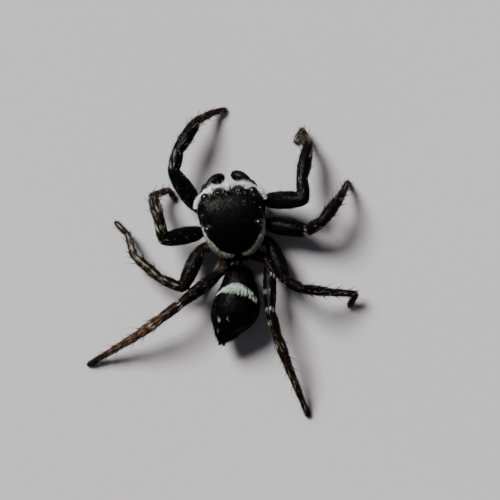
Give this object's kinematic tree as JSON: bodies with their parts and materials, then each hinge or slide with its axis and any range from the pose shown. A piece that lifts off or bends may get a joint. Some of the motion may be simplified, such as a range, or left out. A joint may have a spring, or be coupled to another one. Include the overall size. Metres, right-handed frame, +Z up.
{
  "type": "jumping spider",
  "caption": "Still, life-size jumping spider: black, with a white hair band round the face, white arcs on carapace and abdomen, and bristly, banded legs.",
  "frame": {"origin": "on the floor under the middle of the whole spider's outline", "axes": "+Z up, the head faces -Y and the spider's own left is +X; +Y points back along the body"},
  "size_m": [0.0104, 0.012, 0.0021],
  "materials": {
    "shell": "glossy black chitin",
    "skin": "black skin under short hair",
    "leg": "dark brown to black, satin, bristly",
    "lens": "polished black eye lens"
  },
  "bodies": {
    "root": {"carapace": "shell", "sternum": "shell", "chelicera_left": "shell", "chelicera_right": "shell", "abdomen": "skin", "pedicel": "skin", "spinnerets": "skin", "leg_1_left": "leg", "leg_1_right": "leg", "leg_2_left": "leg", "leg_2_right": "leg", "leg_3_left": "leg", "leg_3_right": "leg", "leg_4_left": "leg", "leg_4_right": "leg", "palp_left": "leg", "palp_right": "leg", "eye_front_middle_left": "lens", "eye_front_middle_right": "lens", "eye_front_side_left": "lens", "eye_front_side_right": "lens", "eye_small_left": "lens", "eye_small_right": "lens", "eye_rear_left": "lens", "eye_rear_right": "lens"}
  },
  "joints": []
}
